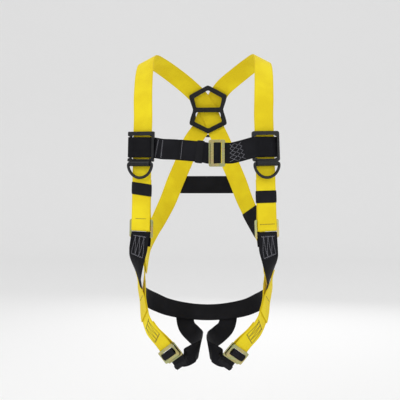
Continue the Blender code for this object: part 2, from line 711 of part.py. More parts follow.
def label_sleeve():
    """A black sleeve round the back strap just above the wearer's left hip."""
    frames = frames_along(shoulder_path(-1))
    around = [row for row in frames if row[0].y > 0 and -0.432 < row[0].z < -0.372]
    sleeve("label_sleeve", around, BLACK, (46 * MM, -1.5 * MM, 1.5 * MM), 1.2 * MM)


def main():
    clear_scene()
    for side, label in ((1, "left"), (-1, "right")):
        strap("shoulder_strap_" + label, shoulder_path(side), YELLOW)
        leg_strap(side, label)
        hip_connector(side, label)
        strap("thigh_strap_" + label, thigh_path(side), BLACK)
        chest_frame(side, label)
        chest_ring(side, label)
        torso_adjuster(side, label)
        strap_keeper(side, label)
        leg_keeper(side, label)
        buckle(leg_buckle_frame(side), "leg", "_" + label)
    chest_strap_left()
    chest_strap_right()
    buckle(chest_buckle_frame(), "chest", "")
    chest_keeper()
    label_sleeve()
    back_strap()
    seat_strap()
    dorsal_pad()
    dorsal_ring()


main()
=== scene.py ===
"""Looks for a full body safety harness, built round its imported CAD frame.

Metres, +Z up. The wearer faces -Y, +X is the wearer's left, and the origin lies midway between the
shoulders at the height of the straps' crowns. Routes are in millimetres, as in the CAD source.
"""

import bisect
from math import ceil, cos, dist, pi, radians, sin, sqrt

import bmesh
import bpy
from mathutils import Matrix, Vector, noise


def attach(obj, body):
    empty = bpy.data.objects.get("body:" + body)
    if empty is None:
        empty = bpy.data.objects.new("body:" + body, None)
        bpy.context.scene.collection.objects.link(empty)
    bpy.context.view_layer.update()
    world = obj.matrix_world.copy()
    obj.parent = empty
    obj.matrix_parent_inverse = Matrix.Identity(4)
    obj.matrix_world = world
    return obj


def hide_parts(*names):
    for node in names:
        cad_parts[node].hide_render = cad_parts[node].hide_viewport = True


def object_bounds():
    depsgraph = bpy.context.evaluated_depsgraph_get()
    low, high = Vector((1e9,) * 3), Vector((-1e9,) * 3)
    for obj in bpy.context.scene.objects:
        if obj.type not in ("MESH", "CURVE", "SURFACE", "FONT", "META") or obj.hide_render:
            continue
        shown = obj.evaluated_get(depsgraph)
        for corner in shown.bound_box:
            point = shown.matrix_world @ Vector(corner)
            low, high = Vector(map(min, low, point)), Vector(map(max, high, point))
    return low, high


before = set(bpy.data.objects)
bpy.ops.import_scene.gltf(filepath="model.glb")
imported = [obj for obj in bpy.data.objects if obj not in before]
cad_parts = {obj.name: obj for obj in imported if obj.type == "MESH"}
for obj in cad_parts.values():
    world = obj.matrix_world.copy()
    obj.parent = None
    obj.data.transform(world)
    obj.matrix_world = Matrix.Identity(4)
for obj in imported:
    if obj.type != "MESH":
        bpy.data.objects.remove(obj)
CAD_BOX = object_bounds()

MM = 0.001

# ---- sizes shared with the CAD source
WEB_W = 45 * MM
WEB_T = 2.0 * MM
LAP = 2.8 * MM
HIP_GAP = 3.6 * MM
STEP = 11 * MM
TWIST_STEP = radians(11)
SHORTEST = 4 * MM

FRONT_X = 133 * MM
FRONT_Y = -115 * MM
YAW = radians(17)
LEAN = {1: 2.0, -1: 1.4}    # degrees that each front strap leans outward below LEAN_TOP
LEAN_TOP = -150 * MM
ADJUSTER_Z = -413.5 * MM
BAR_WRAP = 3.5 * MM

FRAME_Z = -233.5 * MM
FRAME_OUT = 7.0 * MM
RING_ROD = 3.2 * MM      # radius of a chest ring's rod
BARREL = 7.0 * MM        # radius of the tube that carries the ring
RING_DROP = 35.4 * MM
LEVEL = 26 * MM          # the chest strap is level inside the frame and sinks beyond this
SINK = 0.16              # slope of the chest strap towards the buckle
RING_OUT = 10.8 * MM

PAD = Vector((4 * MM, 115 * MM, -117 * MM))
PAD_TILT = radians(8)
PAD_BAR_OUT = 6.2 * MM

CHEST_BUCKLE = Vector((32.5 * MM, -147.5 * MM, -248.5 * MM))
LEG_BUCKLE = Vector((75.6 * MM, -118 * MM, -690 * MM))
FEMALE_OUT = -6.8 * MM
KEEPER_Z = {1: -343 * MM, -1: -326 * MM}

# ---- sizes of the finished surfaces
FINE = 3.5 * MM             # segment length of finished webbing
COLUMNS = 14                # segments across each face of the webbing
EDGE_SIDES = 6              # segments round each selvedge
FINE_T = WEB_T * 0.54       # half the finished webbing's thickness
SAG = 0.35 * MM             # how far the cloth wanders from its ideal surface
THREAD = 0.55 * MM          # radius of the sewing thread
THREAD_SIDES = 6
STITCH = 3.4 * MM           # length of one stitch
LOOP_W = 46 * MM            # inner width of every elastic loop
LOOP_SIDES = 8              # segments round each end of an elastic loop
KEEPER_HALF = 13.5 * MM     # half the length of a front strap's keeper
KEEPER_SLANT = 0.12         # the right strap's keeper sits a little askew
SEAM_HALF = 3.2 * MM        # half the width of a keeper's lapped seam
SMOOTH = 50                 # degrees over which an edge is shaded sharp
ZINC_T = 3 * MM             # thickness of the pressed steel plates
SIDES = ((1, "left"), (-1, "right"))

# ---- studio: the camera stands square before the harness, turned a little to the side
VIEW_TURN = radians(2.5)
VIEW_BACK = 1.47
VIEW_SHIFT = -0.0118
VIEW_Z = -0.350
LENS = 55.17
SENSOR = 36.0
FLOOR_DROP = 0.35           # floor below the lowest strap
FLOOR_HALF = 16.0
FLOOR_FRONT = -9.0
WALL_Y = 6.0                # where the floor starts to curve up into the far wall
WALL_BEND = 2.5
WALL_HIGH = 12.0
LIGHTS = (                  # name, place, size, watts
    ("key", (-1.9, -2.6, 1.5), (2.2, 1.6), 26),
    ("fill", (2.3, -2.2, 0.3), (1.6, 2.2), 9),
    ("top", (0.2, 0.4, 2.2), (2.0, 2.0), 9),
    ("rim", (0.4, 2.6, 0.5), (2.4, 1.6), 12),
)


# ---------------- materials

class Shader:
    """A small helper that adds nodes to one material and joins them."""

    def __init__(self, name):
        self.material = bpy.data.materials.new(name)
        self.material.use_nodes = True
        self.tree = self.material.node_tree
        self.principled = self.tree.nodes["Principled BSDF"]

    def node(self, kind, **inputs):
        made = self.tree.nodes.new("ShaderNode" + kind)
        for key, value in inputs.items():
            self.plug(made.inputs[int(key[1:]) if key[1:].isdigit() else key], value)
        return made

    def plug(self, socket, value):
        if isinstance(value, bpy.types.NodeSocket):
            self.tree.links.new(value, socket)
        else:
            socket.default_value = (*value, 1.0) if socket.type == "RGBA" else value

    def math(self, operation, a, b=0.0):
        made = self.node("Math", i0=a, i1=b)
        made.operation = operation
        return made.outputs[0]

    def mix(self, factor, a, b):
        made = self.node("Mix", i0=factor)
        made.data_type = "RGBA"
        self.plug(made.inputs[6], a)
        self.plug(made.inputs[7], b)
        return made.outputs[2]

    def tint(self, colour, value, low, high, most, other):
        """Turn colour towards other, by most, where value passes from low to high."""
        return self.mix(self.spread(value, low, high, 0.0, most), colour, other)

    def weave(self, first, share, second):
        """Two patterns in one height."""
        return self.math("ADD", self.math("MULTIPLY", first, share), self.math("MULTIPLY", second, 1 - share))

    def noise(self, vector, scale, detail=2.0, roughness=0.5):
        made = self.node("TexNoise", Vector=vector, Scale=scale, Detail=detail,
                         Roughness=roughness)
        return made.outputs["Fac"]

    def mapped(self, vector, **values):
        return self.node("Mapping", Vector=vector, **values).outputs[0]

    def spread(self, value, low, high, to_low=0.0, to_high=1.0):
        made = self.node("MapRange", i0=value, i1=low, i2=high, i3=to_low, i4=to_high)
        return made.outputs[0]

    def position(self):
        return self.node("TexCoord").outputs["Object"]

    def uv(self, layer):
        made = self.node("UVMap")
        made.uv_map = layer
        split = self.node("SeparateXYZ", i0=made.outputs[0])
        return split.outputs[0], split.outputs[1]

    def wave(self, value, period):
        """0 to 1 and back over each period."""
        sine = self.math("SINE", self.math("MULTIPLY", value, 2 * pi / period))
        return self.math("ADD", self.math("MULTIPLY", sine, 0.5), 0.5)

    def bump(self, height, distance, strength=1.0, normal=None):
        made = self.node("Bump", Height=height, Distance=distance, Strength=strength)
        if normal is not None:
            self.plug(made.inputs["Normal"], normal)
        return made.outputs[0]

    def finish(self, **values):
        for key, value in values.items():
            self.plug(self.principled.inputs[key.replace("_", " ")], value)
        return self.material


def webbing_material(name, base, painted_shade, light, sheen, specular):
    """Woven polyester: warp ribs and a herringbone twill, coloured between shaded and lit copies of one
    colour: painted shade in the weave's hollows and on the selvedges, painted light in broad random patches
    and fine flecks.
    """
    s = Shader(name)
    across, along = s.uv("weave")
    edge, _ = s.uv("edge")
    where = s.position()
    ribs = s.wave(across, 1.25 * MM)
    fold = s.math("PINGPONG", across, 5.6 * MM)
    twill = s.wave(s.math("ADD", along, fold), 1.9 * MM)
    height = s.weave(ribs, 0.55, twill)
    broad = s.noise(where, 16.0, 3.0)
    fine = s.noise(where, 420.0, 2.0, 0.6)
    # painted shade: the weave's hollows take the shaded copy of the colour, its ridges the base colour
    colour = s.mix(s.spread(height, 0.1, 0.9), painted_shade, base)
    # broad patches of randomly varying tone, painted towards the lit copy of the colour: painted light
    colour = s.tint(colour, broad, 0.42, 0.68, 0.55, light)
    # painted shade: the rounded selvedges darken towards the shaded copy of the colour
    rim = s.spread(s.math("ABSOLUTE", edge), 0.86, 1.0, 0.0, 0.55)
    colour = s.mix(rim, colour, painted_shade)
    # painted highlights: fine flecks turned towards the lit copy of the colour
    colour = s.tint(colour, fine, 0.58, 0.82, 0.22, light)
    rough = s.spread(broad, 0.3, 0.7, 0.62, 0.78)
    normal = s.bump(height, 0.16 * MM, 0.75)
    normal = s.bump(fine, 0.12 * MM, 0.4, normal)
    return s.finish(Base_Color=colour, Roughness=rough, Normal=normal, Sheen_Weight=sheen,
                    Sheen_Roughness=0.45, Specular_IOR_Level=specular)


def elastic_material():
    """Knitted elastic tape: fine ribs along its length and a raised cross rib."""
    s = Shader("black_elastic")
    across, along = s.uv("weave")
    where = s.position()
    cords = s.wave(along, 1.9 * MM)
    knit = s.wave(across, 1.1 * MM)
    height = s.weave(cords, 0.7, knit)
    broad = s.noise(where, 30.0, 3.0)
    colour = s.mix(s.spread(height, 0.1, 0.9), (0.003, 0.003, 0.004), (0.012, 0.012, 0.015))
    colour = s.tint(colour, broad, 0.5, 0.75, 0.4, (0.022, 0.022, 0.026))
    normal = s.bump(height, 0.22 * MM, 0.8)
    return s.finish(Base_Color=colour, Roughness=s.spread(broad, 0.3, 0.7, 0.6, 0.8), Normal=normal,
                    Specular_IOR_Level=0.15)


def plastic_material():
    """Moulded black plastic with a fine grain and dull handling marks."""
    s = Shader("black_plastic")
    where = s.position()
    broad = s.noise(where, 38.0, 4.0, 0.6)
    grain = s.noise(where, 1700.0, 2.0)
    marks = s.noise(s.mapped(where, Scale=(260.0, 260.0, 1500.0)), 1.0, 3.0)
    colour = s.mix(s.spread(broad, 0.35, 0.75), (0.004, 0.0045, 0.0055), (0.009, 0.010, 0.012))
    colour = s.tint(colour, marks, 0.66, 0.8, 0.3, (0.04, 0.042, 0.047))
    rough = s.math("ADD", s.spread(broad, 0.3, 0.7, 0.24, 0.38), s.spread(marks, 0.6, 0.8, 0.0, 0.14))
    normal = s.bump(grain, 0.05 * MM, 0.35)
    return s.finish(Base_Color=colour, Roughness=rough, Normal=normal, Specular_IOR_Level=0.3)


def coated_material():
    """Forged steel under a black coating, a little worn where it rubs."""
    s = Shader("coated_steel")
    where = s.position()
    broad = s.noise(where, 55.0, 4.0, 0.65)
    fine = s.noise(where, 900.0, 2.0)
    worn = s.spread(broad, 0.64, 0.76, 0.0, 0.6)
    colour = s.mix(worn, (0.009, 0.010, 0.012), (0.06, 0.06, 0.064))
    normal = s.bump(fine, 0.06 * MM, 0.4)
    return s.finish(Base_Color=colour, Metallic=s.spread(worn, 0.0, 0.6, 0.25, 0.7),
                    Roughness=s.spread(broad, 0.3, 0.7, 0.26, 0.42), Normal=normal, Specular_IOR_Level=0.45)


def zinc_material():
    """Yellow zinc plate: straw gold that drifts to green and pink, with fine brushed marks."""
    s = Shader("zinc_steel")
    where = s.position()
    drift = s.noise(where, 62.0, 2.0)
    second = s.noise(s.mapped(where, Location=(0.7, 0.3, 0.1)), 90.0, 2.0)
    brushed = s.noise(s.mapped(where, Scale=(300.0, 300.0, 2600.0)), 1.0, 2.0)
    spots = s.noise(where, 520.0, 3.0, 0.7)
    colour = s.mix(s.spread(drift, 0.38, 0.62), (0.50, 0.42, 0.17), (0.39, 0.42, 0.20))
    colour = s.tint(colour, second, 0.56, 0.72, 0.7, (0.50, 0.34, 0.21))
    colour = s.tint(colour, spots, 0.62, 0.8, 0.5, (0.24, 0.19, 0.10))
    rough = s.math("ADD", s.spread(brushed, 0.3, 0.7, 0.20, 0.36), s.spread(spots, 0.6, 0.8, 0.0, 0.2))
    normal = s.bump(brushed, 0.03 * MM, 0.35)
    normal = s.bump(spots, 0.05 * MM, 0.25, normal)
    return s.finish(Base_Color=colour, Metallic=1.0, Roughness=rough, Normal=normal)


def thread_material(name, dark, light):
    """Twisted sewing thread."""
    s = Shader(name)
    where = s.position()
    twist = s.noise(where, 1500.0, 2.0)
    broad = s.noise(where, 60.0, 2.0)
    colour = s.mix(s.spread(twist, 0.35, 0.65), dark, light)
    colour = s.tint(colour, broad, 0.5, 0.8, 0.4, dark)
    return s.finish(Base_Color=colour, Roughness=0.6, Normal=s.bump(twist, 0.1 * MM, 0.6),
                    Sheen_Weight=0.2, Sheen_Roughness=0.4)


# the second and third colours of each webbing are its shaded and lit copies, used for painted shade and
# painted light
YELLOW = webbing_material("yellow_webbing", (0.89, 0.71, 0.010), (0.66, 0.48, 0.003),
                          (0.95, 0.80, 0.02), 0.03, 0.2)
BLACK = webbing_material("black_webbing", (0.0075, 0.0075, 0.010), (0.0025, 0.0025, 0.0035),
                         (0.016, 0.016, 0.020), 0.0, 0.12)
ELASTIC = elastic_material()
PLASTIC = plastic_material()
COATED = coated_material()
ZINC = zinc_material()
GREY_THREAD = thread_material("grey_thread", (0.10, 0.10, 0.115), (0.22, 0.22, 0.25))
BROWN_THREAD = thread_material("brown_thread", (0.045, 0.026, 0.006), (0.13, 0.08, 0.02))


# ---------------- routes, as in the CAD source

def spline(stations, step=STEP):
    """Catmull-Rom through (point, normal[, width]) stations, with short steps where the normal turns."""
    full = [(Vector(s[0]), Vector(s[1]), s[2] if len(s) > 2 else 1.0) for s in stations]
    first = (full[0][0] * 2 - full[1][0], full[0][1], full[0][2])
    last = (full[-1][0] * 2 - full[-2][0], full[-1][1], full[-1][2])
    padded = [first] + full + [last]
    result = []
    for a, b, c, d in zip(padded, padded[1:], padded[2:], padded[3:]):
        knots = knots_through(a[0], b[0], c[0], d[0])
        length = (c[0] - b[0]).length
        turns = min(ceil(b[1].angle(c[1]) / TWIST_STEP), int(length / SHORTEST))
        count = max(1, ceil(length / step), turns)
        for k in range(count):
            f = k / count
            t = knots[1] + (knots[2] - knots[1]) * f
            point = catmull(knots, t, a[0], b[0], c[0], d[0])
            result.append((point, b[1].lerp(c[1], f), b[2] + (c[2] - b[2]) * f))
    result.append(full[-1])
    return result


def knots_through(*points):
    """Centripetal knots of four points."""
    knots = [0.0]
    for p, q in zip(points, points[1:]):
        knots.append(knots[-1] + max((q - p).length, 1e-6) ** 0.5)
    return knots


def catmull(k, t, *points):
    """The point at t on the curve through four points that have the knots k."""
    def between(p, q, low, high):
        return p * ((high - t) / (high - low)) + q * ((t - low) / (high - low))

    near = [between(points[i], points[i + 1], k[i], k[i + 1]) for i in range(3)]
    first, last = (between(near[i], near[i + 1], k[i], k[i + 2]) for i in range(2))
    return between(first, last, k[1], k[2])


def frames_along(path):
    """(point, side, normal, width) at each point, with the normal made square to the path."""
    result = []
    for i, (point, normal, width) in enumerate(path):
        before = path[max(i - 1, 0)][0]
        after = path[min(i + 1, len(path) - 1)][0]
        tangent = (after - before).normalized()
        side = tangent.cross(normal).normalized()
        result.append((point, side, side.cross(tangent).normalized(), width))
    return result


def beside(path, shift):
    """The same path moved along its true normals, as the ply that lies on it."""
    return [(point + normal * shift, normal, factor) for point, _, normal, factor in frames_along(path)]


def axes_frame(origin, inward, out, up):
    """A frame whose axes are X inward along the strap, Y outward from the wearer, Z along the width."""
    made = Matrix.Identity(4)
    for column, axis in enumerate((inward, out, up)):
        for row in range(3):
            made[row][column] = axis[row]
    for row in range(3):
        made[row][3] = origin[row]
    return made


def front_frame(side, z=0.0):
    """X inward, Y out of the chest, Z up along the front strap, which leans outward below LEAN_TOP."""
    lean = radians(LEAN[side])
    level = Vector((-side * cos(YAW), -sin(YAW), 0))
    rise = Vector((0, 0, 1))
    up = rise * cos(lean) + level * sin(lean)
    inward = level * cos(lean) - rise * sin(lean)
    out = Vector((side * sin(YAW), -cos(YAW), 0))
    return axes_frame(Vector((side * FRONT_X, FRONT_Y, LEAN_TOP)) + up * (z - LEAN_TOP), inward, out, up)


def outward(place):
    return place.to_3x3() @ Vector((0, 1, 0))


def pad_frame():
    out = Vector((0, cos(PAD_TILT), sin(PAD_TILT)))
    up = Vector((0, -sin(PAD_TILT), cos(PAD_TILT)))
    return axes_frame(PAD, Vector((1, 0, 0)), out, up)


def chest_buckle_frame():
    return axes_frame(CHEST_BUCKLE, Vector((1, 0, 0)), Vector((0, -1, 0)), Vector((0, 0, 1)))


def leg_buckle_frame(side):
    out = Vector((side * 0.52, -0.78, -0.35)).normalized()
    along = Vector((side * 0.62, 0.08, 0.75))
    along = (along - out * along.dot(out)).normalized()
    across = along.cross(out) * -side
    place = Vector((side * LEG_BUCKLE.x, LEG_BUCKLE.y, LEG_BUCKLE.z))
    return axes_frame(place, along, out, across)


def mm(points):
    """Points given in millimetres, in metres."""
    return [tuple(c * MM for c in point) for point in points]


def arc(cx, cy, radius, start, stop, count):
    """(x, out) points on an arc, angles in degrees."""
    points = []
    for k in range(count + 1):
        angle = radians(start + (stop - start) * k / count)
        points.append((cx + radius * cos(angle), cy + radius * sin(angle)))
    return points


def wrap_stations(place, flat, sink=0.0):
    """Stations of a strap with an (x, out) path in a frame. Past LEVEL it sinks by sink per metre inward."""
    up = place.to_3x3() @ Vector((0, 0, 1))
    points = [place @ Vector((x, out, -sink * max(0.0, x - LEVEL))) for x, out in flat]
    stations = []
    for i, point in enumerate(points):
        tangent = (points[min(i + 1, len(points) - 1)] - points[max(i - 1, 0)]).normalized()
        stations.append((point, tangent.cross(up).normalized()))
    return stations


def sewn_end():
    """The sewn strap's last stretch over the rear frame's bar, and its bend round the bar, as (x, out)."""
    straight = [(30 * MM, FEMALE_OUT + BAR_WRAP), (22 * MM, FEMALE_OUT + BAR_WRAP)]
    return straight, arc(14.5 * MM, FEMALE_OUT, BAR_WRAP, 90, 270, 6)


ROLL = 2.9      # mm from the tongue's middle to each end of its middle bar


def adjustable_end():
    """The adjustable strap: main ply at the back, over the tongue's bar, and back between them."""
    flat = [(-20, -12.7), (-13, -12.2), (-3.7, -9.8), (3.1, -7.1), (6.3, -4.0)]
    flat += arc(ROLL, 0, 3.8, -15, 90, 3) + arc(-ROLL, 0, 3.8, 90, 196, 3)
    flat += [(-7.3, -3.5), (-9.8, -6.7), (-12.4, -8.8), (-15.5, -10.0), (-19.5, -10.2)]
    return mm(flat)


# ---- routes for the left side: a point in mm and the outward normal, and sometimes a share of the width
# Each shoulder strap from below the pad to the waist
BACK_ROUTE = [
    (59, 124.5, -250, 0.12, 0.99, 0),
    (80, 118.5, -300, 0.22, 0.97, -0.02),
    (98.5, 109, -350, 0.42, 0.9, -0.05),
    (117, 91, -392, 0.62, 0.78, 0),
]

# Overlap at the hip, where the back strap is sewn inside the leg strap
HIP_LAP = [
    (134, 61, -430, 0.82, 0.56, 0),
    (142.5, 30, -462, 0.95, 0.30, 0),
    (142.2, 12, -490, 1, 0.08, 0),
    (141.2, -4, -518, 1, -0.08, 0),
]

# The leg strap below the hip
LEG_ROUTE = [
    (143.5, -26, -553, 0.95, -0.30, 0),
    (142.5, -40, -585, 0.90, -0.42, -0.06),
    (134, -68, -617, 0.77, -0.62, -0.12),
    (121, -94, -638, 0.66, -0.72, -0.22),
]

# The back strap and the seat strap, from the left end to the middle
BACK = [
    (92, 119.4, -310, 0.26, 0.96, -0.10),
    (76, 123.7, -310, 0.24, 0.96, -0.09),
    (58, 127.4, -310, 0.15, 0.98, -0.05),
    (30, 128.9, -310, 0.03, 1, 0),
]

SEAT = [
    (139, -30, -577, 0.95, -0.30, 0),
    (143, 0, -583, 1, 0, 0),
    (140, 35, -593, 0.95, 0.30, -0.05),
    (127, 70, -607, 0.75, 0.65, -0.10),
    (102, 102, -624, 0.46, 0.82, -0.34),
    (70, 121, -635, 0.22, 0.86, -0.46),
    (35, 129, -641, 0.09, 0.83, -0.55),
]

# The thigh strap, from its end on the seat strap round the thigh to the buckle
THIGH = [
    (58, 138.9, -623.5, 0.17, 0.85, -0.50),
    (57, 121.6, -652, 0.17, 0.85, -0.50),
    (50.5, 107, -675, 0.05, 0.82, -0.57),
    (32, 84, -690, -0.45, 0.72, -0.50),
    (17, 43, -693, -0.85, 0.30, -0.40),
    (11.5, 5, -693, -0.96, 0, -0.26),
    (10, -35, -692, -0.97, -0.14, -0.20),
    (12, -62, -693, -0.86, -0.48, -0.16),
    (21, -81, -696, -0.36, -0.92, -0.16),
    (35, -92, -702, 0.0, -0.97, -0.24),
    (47.5, -100, -705, 0.24, -0.91, -0.34),
]


def mirror(point, side):
    return Vector((side * point[0], point[1], point[2]))


def stations_mm(rows, side):
    """Turn the left side's rows of (x, y, z in mm, normal x, y, z[, width]) into stations."""
    return [(mirror(row[:3], side) * MM, mirror(row[3:6], side).normalized(), *row[6:]) for row in rows]


def round_bar(front, z, angles):
    """Stations of a strap bent round a torso adjuster's bar, whose wrap is centred on height z."""
    stations = []
    for angle in angles:
        a = radians(angle)
        bend = Vector((0, BAR_WRAP * (cos(a) - 1), z + BAR_WRAP * sin(a)))
        stations.append((front @ bend, front.to_3x3() @ Vector((0, cos(a), sin(a)))))
    return stations


def shoulder_path(side):
    front = front_frame(side)
    out = outward(front)

    def station(drop, lift, normal=out):
        return (front @ Vector((0, lift, drop)), normal)

    stations = [station(z, -LAP, -out) for z in (-0.305, -0.345, -0.362)]
    stations += [station(-0.380, -0.8 * BAR_WRAP - LAP / 2, -out), station(-0.394, -BAR_WRAP * 2, -out)]
    stations += round_bar(front, ADJUSTER_Z - 1.5 * MM, range(180, 361, 30))
    stations += [station(z, 0) for z in (-0.395, -0.372, -0.190, -0.165)]
    stations += stations_mm([
        (134.5, -108.5, -120, 0.28, -0.93, 0.20),
        (136, -78, -64.5, 0.32, -0.78, 0.52),
        (136, -43, -28, 0.42, -0.45, 0.79),
        (132, -5, -14, 0.45, -0.02, 0.89),
        (113, 42, -17, 0.34, 0.45, 0.80),
        (80, 82, -35, 0.20, 0.75, 0.60),
    ], side)
    stations.append((mirror((43, 108, -62), side) * MM, mirror((0.08, 0.93, 0.36), side)))
    pad = pad_frame()
    over = 3.2 * MM if side > 0 else 0.0
    for x, up, lift in ((19, 27, 9.8), (9, 12, 11.4), (0, 0, 11.6), (-5.5, -12, 11.4), (-11, -26, 10),
                        (-18, -46, 7)):
        stations.append((pad @ Vector((side * x * MM, lift * MM + over, up * MM)), outward(pad)))
    stations.append((mirror((40, 126.5 + 1.3 * side, -200), -side) * MM, mirror((0.05, 1, 0), -side)))
    stations += stations_mm(BACK_ROUTE + HIP_LAP, -side)
    return spline(stations)


def lead_in(buckle):
    """Stations of a sewn strap's last stretch before it turns round the buckle's bar."""
    return [(buckle @ Vector((x, y, 0)), outward(buckle)) for x, y in sewn_end()[0]]


def leg_path(side):
    """The leg strap from the hip to the buckle, without its sewn return."""
    hip = beside(spline(stations_mm(HIP_LAP, side)), HIP_GAP)[5:]
    return spline(hip + stations_mm(LEG_ROUTE, side) + lead_in(leg_buckle_frame(side)))


def outer_ply_path(side):
    fork = stations_mm([
        (161, -9, -523, 0.96, 0.16, 0.05),
        (158, -20, -545, 0.98, -0.08, 0.12),
    ], side)
    lying = [row for row in beside(leg_path(side), LAP) if -0.622 < row[0].z < -0.578]
    return spline(fork + lying)


def sewn_return(main, place, count):
    """Bend round the frame's bar and lie back under the last count points of main."""
    turn = place.to_3x3()
    bend = sewn_end()[1]
    path = []
    for i, (x, out) in enumerate(bend):
        angle = radians(90 + 180 * i / (len(bend) - 1))
        path.append((place @ Vector((x, out, 0)), turn @ Vector((cos(angle), sin(angle), 0)), 1.0))
    for k, (point, _, normal, _) in enumerate(reversed(frames_along(main)[-count:])):
        gap = LAP + (2 * BAR_WRAP - LAP) * max(0.0, 1 - k / 3)
        path.append((point - normal * gap, -normal, 1.0))
    return path


def hip_connector_path(side):
    front = front_frame(side)
    stations = [(front @ Vector((0, -LAP * 1.5, -0.453)), -outward(front))]
    stations += [(front @ Vector((0, -BAR_WRAP * 1.9, -0.441)), -outward(front))]
    stations += round_bar(front, ADJUSTER_Z - 11.4 * MM, range(180, -1, -30))
    stations += stations_mm([
        (144.5, -112.5, -459, 0.32, -0.94, 0),
        (148.5, -107, -481, 0.52, -0.84, 0),
        (150.5, -91, -507, 0.76, -0.65, 0.05),
        (150.5, -71, -529, 0.89, -0.45, 0.05, 0.92),
        (146.6, -51, -545, 0.94, -0.33, 0, 0.62),
    ], side)
    return spline(stations)


def back_path():
    return spline(stations_mm(BACK, -1) + stations_mm(BACK, 1)[::-1])


def seat_path():
    middle = (Vector((0, 131, -643)) * MM, Vector((0, 0.82, -0.57)))
    return spline(stations_mm(SEAT, -1) + [middle] + stations_mm(SEAT, 1)[::-1])


def facing(stations, place, index):
    """The stations with all normals turned so that the one at index points out of the frame."""
    sign = 1 if stations[index][1].dot(outward(place)) > 0 else -1
    return [(point, normal * sign) for point, normal in stations]


def thigh_path(side):
    buckle = leg_buckle_frame(side)
    near = facing(wrap_stations(buckle, adjustable_end() + mm([(-41, -8.4)])), buckle, 0)
    return spline(stations_mm(THIGH, side) + near)


# Each half of the chest strap in its frame, as (x, out) mm from the buckle's side, round a bar and back
CHEST_RIGHT = [
    (48, 1.5), (36, 1.2), (32, 1.0), (28, 1.3), (24.5, 2.6), (20.5, 4.3), (14, 5.4), (0, 6.0), (-12, 6.8),
    (-17.3, 8.6), (-20.2, 10.5), (-23.5, 11.3), (-27.3, 11.2), (-29.4, 10.0), (-30.2, 7), (-30.1, 3.5),
    (-29.3, 0.6), (-27.4, -1.6), (-24.5, -2.6), (-10, -2.8), (15, -2.8), (27, -2.4), (36, -1.6), (48, -1.3),
]
CHEST_LEFT = [
    (50, 7.6), (40, 9.8), (32, 11.2), (26, 11.2), (22.6, 10.6), (19.8, 8.8), (14, 6.6), (0, 6.0), (-14, 5.4),
    (-19, 4.3), (-22.2, 3.2), (-24.6, 2.9), (-27, 2.2), (-28.0, 0.2), (-27, -1.8), (-24, -2.8), (-10, -2.8),
    (15, -2.8), (27, -2.4), (36, -1.4), (46, -0.8),
]

# The right half from its frame to the buckle, and its tail lying back behind it
CHEST_MIDDLE = [
    (-62, -133.3, -239.7), (-42, -134.5, -241.6), (-26, -134.9, -243.0), (-8, -135.0, -244.8),
    (4, -134.9, -246.4),
]
CHEST_TAIL = [
    (2, -137.7, -246.2), (-10, -137.7, -244.6), (-26, -137.4, -243.0), (-42, -137.1, -241.6),
    (-50, -136.7, -240.8),
]


def chest_right_path():
    place = front_frame(-1, FRAME_Z)
    near = wrap_stations(place, mm(CHEST_RIGHT), SINK)[::-1]
    middle = [(Vector(row) * MM, Vector((0, -1, 0))) for row in CHEST_MIDDLE]
    buckle = chest_buckle_frame()
    wrap = wrap_stations(buckle, adjustable_end())
    tail = [(Vector(row) * MM, Vector((0, 1, 0))) for row in CHEST_TAIL]
    return spline(facing(near, place, -1) + middle + facing(wrap, buckle, 0) + tail)


def chest_left_path():
    place = front_frame(1, FRAME_Z)
    near = facing(wrap_stations(place, mm(CHEST_LEFT), SINK * 1.6), place, 0)
    buckle = chest_buckle_frame()
    main = spline(near[::-1] + lead_in(buckle))
    return main + sewn_return(main, buckle, 3)


# ---------------- building pieces

def link(name, data):
    made = bpy.data.objects.new(name, data)
    bpy.context.scene.collection.objects.link(made)
    return made


def moved(place, out, up=0.0):
    return place @ Matrix.Translation((0, out, up))


def add_piece(name, mesh, look, body, nodes=(), smooth_angle=None):
    """Put a finished mesh in the scene as a piece that rides on a CAD body."""
    mesh.materials.clear()
    mesh.materials.append(look)
    mesh.shade_smooth()
    if smooth_angle is not None:
        mesh.set_sharp_from_angle(angle=radians(smooth_angle))
    piece = link(name, mesh)
    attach(piece, body)
    if nodes:
        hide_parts(*nodes)
    return piece


def web_section():
    """Points (across, lift) round the webbing, starting at the left selvedge on the outer face."""
    edge = WEB_W / 2 - FINE_T
    points = []
    for sign in (1, -1):
        points += [(sign * edge * (2 * k / COLUMNS - 1), sign * FINE_T) for k in range(COLUMNS + 1)]
        points += arc(sign * edge, 0, FINE_T, 90 * sign, 90 * sign - 180, EDGE_SIDES)[1:-1]
    return points


def band(near, far):
    """Quads that join two closed rings."""
    return list(zip(near, near[1:] + near[:1], far[1:] + far[:1], far))


def round_trip(loop):
    """How far round a closed loop each of its points lies, with the whole way round last."""
    lengths = [0.0]
    for here, there in zip(loop, loop[1:] + loop[:1]):
        lengths.append(lengths[-1] + dist(here, there))
    return lengths


def numbered(count, ring):
    """The vertex numbers of each ring."""
    return [list(range(r * ring, (r + 1) * ring)) for r in range(count)]


def woven_mesh(name, verts, faces, **layers):
    """A mesh whose normals face out, with one UV layer for each list of values."""
    mesh = bpy.data.meshes.new(name)
    mesh.from_pydata(verts, [], faces)
    for layer, values in layers.items():
        uv = mesh.uv_layers.new(name=layer)
        uv.data.foreach_set("uv", [c for pair in values for c in pair])
    bm = bmesh.new()
    bm.from_mesh(mesh)
    bmesh.ops.recalc_face_normals(bm, faces=bm.faces)
    bm.to_mesh(mesh)
    bm.free()
    return mesh


def distances(rows):
    """How far along the path each of its rows lies."""
    along = [0.0]
    for near, far in zip(rows, rows[1:]):
        along.append(along[-1] + (far[0] - near[0]).length)
    return along


